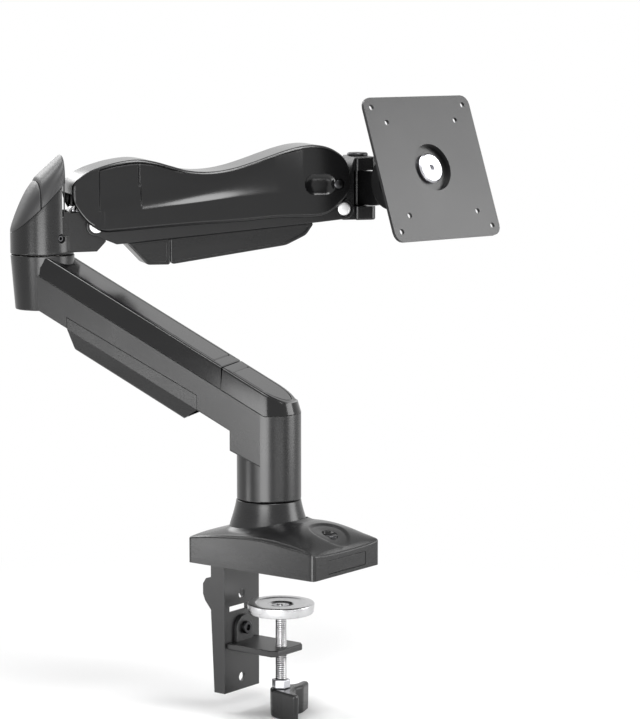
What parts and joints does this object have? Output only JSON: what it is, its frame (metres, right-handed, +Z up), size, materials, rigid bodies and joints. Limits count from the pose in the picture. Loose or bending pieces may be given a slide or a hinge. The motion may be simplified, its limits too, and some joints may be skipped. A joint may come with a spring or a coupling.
{
  "type": "monitor arm",
  "caption": "Desk-clamp monitor arm with a swivelling lower arm, a gas-spring parallelogram upper arm and a tilting, turning screen plate.",
  "frame": {"origin": "on the column's vertical axis, at the underside of the base pad where it rests on the desk", "axes": "+Z up along the column; the base's nose points to -Y and the clamp's upright plate stands on the +Y side; +X completes the right-hand set"},
  "size_m": [0.2763, 0.291, 0.4742],
  "materials": {
    "black_casting": "satin black coat over an aluminium casting",
    "black_plastic": "smooth black moulded plastic",
    "black_steel": "black powder-coated steel",
    "polished_steel": "polished",
    "zinc_steel": "zinc-plated",
    "black_tube": "gloss black",
    "nylon": "natural nylon",
    "pad_rubber": "soft rubber sheet"
  },
  "bodies": {
    "base": {"desk_pad": "pad_rubber", "base_plate": "black_steel", "base_cover": "black_plastic", "cover_screw": "zinc_steel", "nose_panel": "black_plastic", "column_post": "black_steel", "post_screw_rear": "zinc_steel", "post_screw_left": "zinc_steel", "post_screw_right": "zinc_steel", "column_collar": "black_plastic", "clamp_back_plate": "black_steel", "flange_screw_left": "zinc_steel", "flange_screw_right": "zinc_steel", "clamp_shelf": "black_steel", "shelf_bolt": "zinc_steel", "shelf_nut": "zinc_steel"},
    "clamp_disc": {"pressure_disc": "polished_steel"},
    "clamp_spindle": {"clamp_screw": "polished_steel", "disc_clip": "zinc_steel", "screw_collar": "zinc_steel", "clamp_handle": "black_plastic"},
    "lower_arm": {"lower_arm": "black_casting", "column_bushing_low": "nylon", "column_bushing_high": "nylon", "column_washer": "zinc_steel", "column_bolt": "zinc_steel", "column_end_cap": "black_plastic", "lower_arm_cap": "black_plastic", "lower_cable_cover": "black_plastic", "elbow_bushing": "nylon"},
    "elbow": {"elbow_housing": "black_casting", "elbow_bolt": "zinc_steel", "elbow_rear_dome": "black_plastic", "elbow_front_dome": "black_plastic", "friction_screw": "zinc_steel", "spring_anchor_pin": "zinc_steel", "lift_pin_near": "zinc_steel", "lift_pin_far": "zinc_steel", "link_pin_near": "polished_steel", "link_pin_far": "polished_steel"},
    "upper_arm": {"upper_arm": "black_casting", "spring_front_pin": "zinc_steel", "head_lift_pin": "zinc_steel"},
    "lower_link": {"lower_link": "black_casting", "cable_tray_rear": "black_plastic", "cable_tray_front": "black_plastic"},
    "spring_cylinder": {"gas_cylinder": "black_tube"},
    "spring_rod": {"gas_rod": "polished_steel"},
    "head": {"head_bracket": "black_casting", "head_link_pin": "polished_steel", "swivel_pin": "zinc_steel"},
    "swivel": {"swivel_block": "black_casting"},
    "tilt": {"tilt_washer_near": "nylon", "tilt_washer_far": "nylon", "tilt_bracket": "black_casting", "tilt_bolt": "zinc_steel", "tilt_nut": "zinc_steel"},
    "screen_mount": {"rotation_washer": "nylon", "screen_plate": "black_steel", "rotation_bolt": "zinc_steel"}
  },
  "joints": [
    {"name": "base_swivel", "type": "hinge", "parent": "base", "child": "lower_arm", "pos_m": [0, 0, 0.075], "axis": [0, 0, 1], "range_deg": [-180, 180]},
    {"name": "elbow_swivel", "type": "hinge", "parent": "lower_arm", "child": "elbow", "pos_m": [-0.06294, 0.17482, 0.216], "axis": [0, 0, 1], "range_deg": [-3.5, 296.5]},
    {"name": "lift", "type": "hinge", "parent": "elbow", "child": "upper_arm", "pos_m": [-0.03592, 0.15468, 0.275], "axis": [-0.5976, -0.8018, 0], "range_deg": [-20, 45]},
    {"name": "link_swing", "type": "hinge", "parent": "elbow", "child": "lower_link", "pos_m": [-0.03167, 0.15151, 0.255], "axis": [-0.5976, -0.8018, 0], "range_deg": [-20, 45]},
    {"name": "spring_swing", "type": "hinge", "parent": "upper_arm", "child": "spring_cylinder", "pos_m": [0.09421, 0.05768, 0.272], "axis": [-0.5976, -0.8018, 0], "range_deg": [-2.5, 1.5]},
    {"name": "spring_stroke", "type": "slide", "parent": "spring_cylinder", "child": "spring_rod", "axis": [-0.8009, 0.597, -0.0473], "range_m": [-0.0035, 0.007]},
    {"name": "head_level", "type": "hinge", "parent": "upper_arm", "child": "head", "pos_m": [0.12506, 0.03469, 0.28447], "axis": [-0.5976, -0.8018, 0], "range_deg": [-45, 20]},
    {"name": "head_swivel", "type": "hinge", "parent": "head", "child": "swivel", "pos_m": [0.14272, 0.02152, 0.28], "axis": [0, 0, 1], "range_deg": [-26.7, 153.3]},
    {"name": "screen_tilt", "type": "hinge", "parent": "swivel", "child": "tilt", "pos_m": [0.13404, -0.02772, 0.287], "axis": [-0.9848, 0.1736, 0], "range_deg": [-50, 60]},
    {"name": "screen_turn", "type": "hinge", "parent": "tilt", "child": "screen_mount", "pos_m": [0.13404, -0.02772, 0.287], "axis": [-0.1632, -0.9254, 0.342], "range_deg": [-180, 180]},
    {"name": "disc_travel", "type": "slide", "parent": "base", "child": "clamp_disc", "axis": [0, 0, 1], "range_m": [-0.022, 0.02]},
    {"name": "screw_spin", "type": "hinge", "parent": "clamp_disc", "child": "clamp_spindle", "pos_m": [0, -0.0118, -0.06], "axis": [0, 0, 1], "range_deg": [-5281, 4801]}
  ],
  "couplings": [
    {"joint": "link_swing", "follows": "lift", "ratio": 1},
    {"joint": "head_level", "follows": "lift", "ratio": -1},
    {"joint": "spring_swing", "follows": "lift", "ratio": -0.05},
    {"joint": "spring_stroke", "follows": "lift", "m_per_rad": 0.00825},
    {"joint": "screw_spin", "follows": "disc_travel", "rad_per_m": 4188.8}
  ]
}
